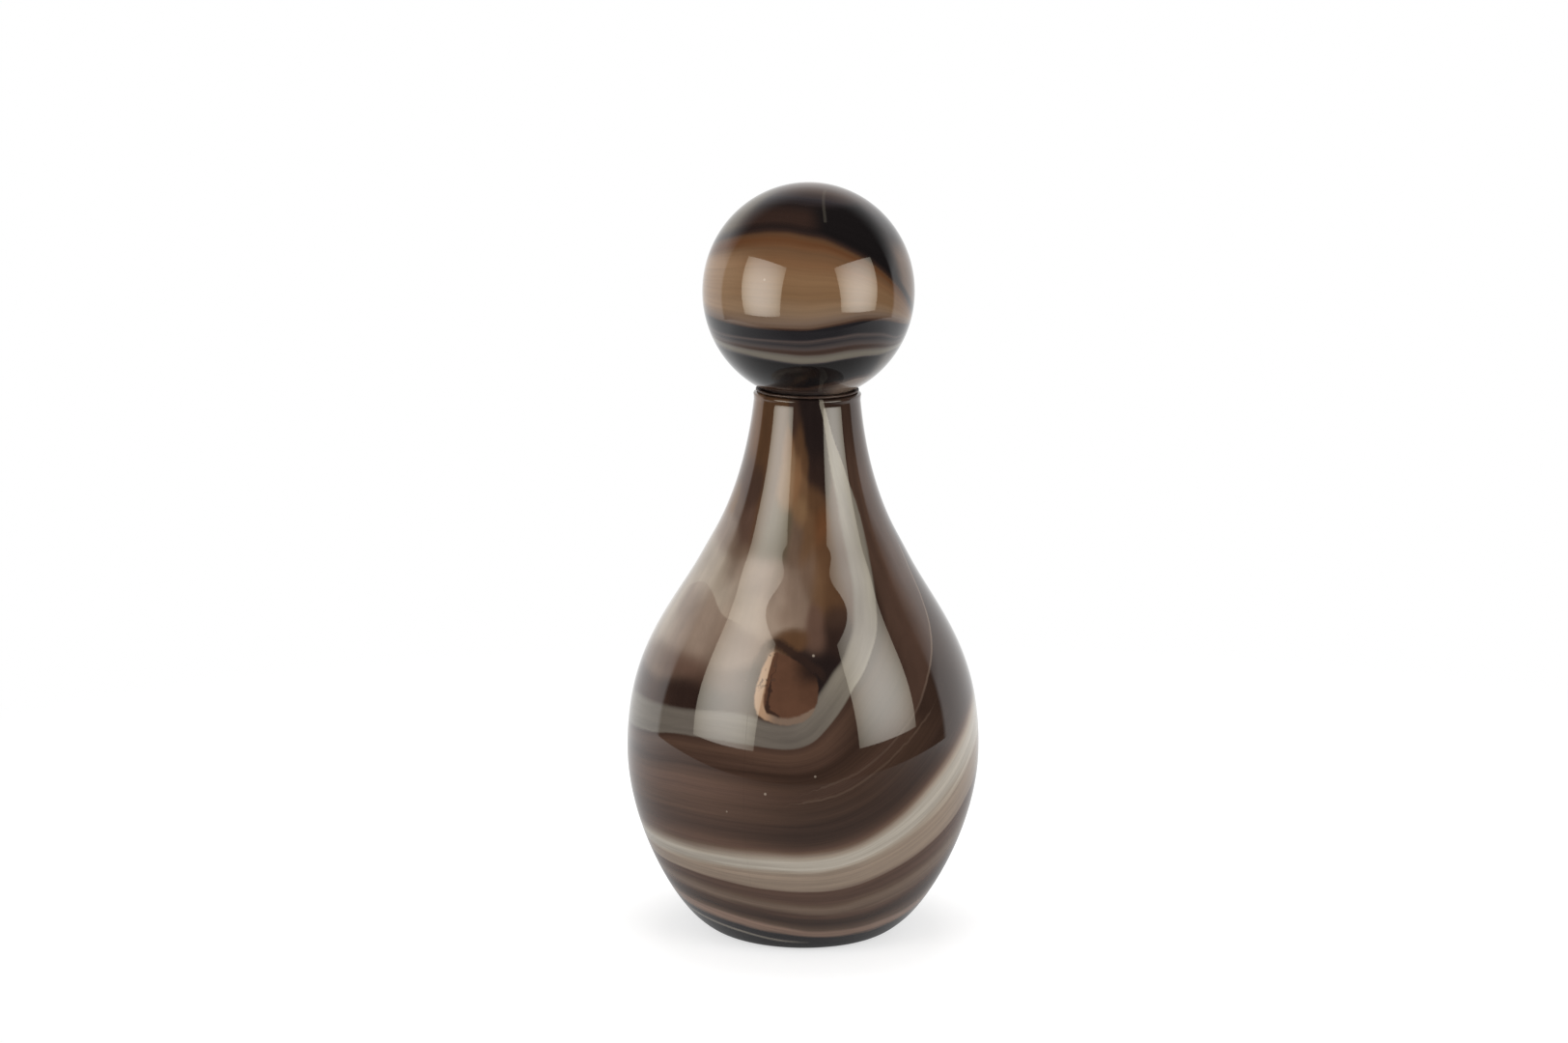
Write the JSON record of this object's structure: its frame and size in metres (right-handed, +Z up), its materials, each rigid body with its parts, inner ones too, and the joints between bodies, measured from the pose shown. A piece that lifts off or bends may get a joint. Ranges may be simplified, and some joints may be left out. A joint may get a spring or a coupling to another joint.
{
  "type": "decorative bottle with ball stopper",
  "caption": "Hollow blown-glass decorative bottle with a pear-shaped body, marbled all over, closed by a lift-out ball stopper on a sleeved plug.",
  "frame": {"origin": "centre of the foot, on the surface that the bottle stands on", "axes": "+Z up along the axis of the bottle and its stopper"},
  "size_m": [0.1408, 0.1408, 0.3],
  "materials": {
    "bottle_glass": "glossy marbled, opaque",
    "ball_glass": "glossy marbled, opaque",
    "plug_glass": "satin, smoky",
    "sleeve_polymer": "soft, clear"
  },
  "bodies": {
    "bottle": {"bottle": "bottle_glass"},
    "sleeve": {"plug_sleeve": "sleeve_polymer"},
    "stopper": {"stopper_plug": "plug_glass", "stopper_ball": "ball_glass"}
  },
  "joints": [
    {"name": "stopper_lift", "type": "slide", "parent": "bottle", "child": "sleeve", "axis": [0, 0, 1], "range_m": [0, 0.06]},
    {"name": "stopper_turn", "type": "hinge", "parent": "sleeve", "child": "stopper", "pos_m": [0, 0, 0.2169], "axis": [0, 0, 1], "continuous": true}
  ]
}
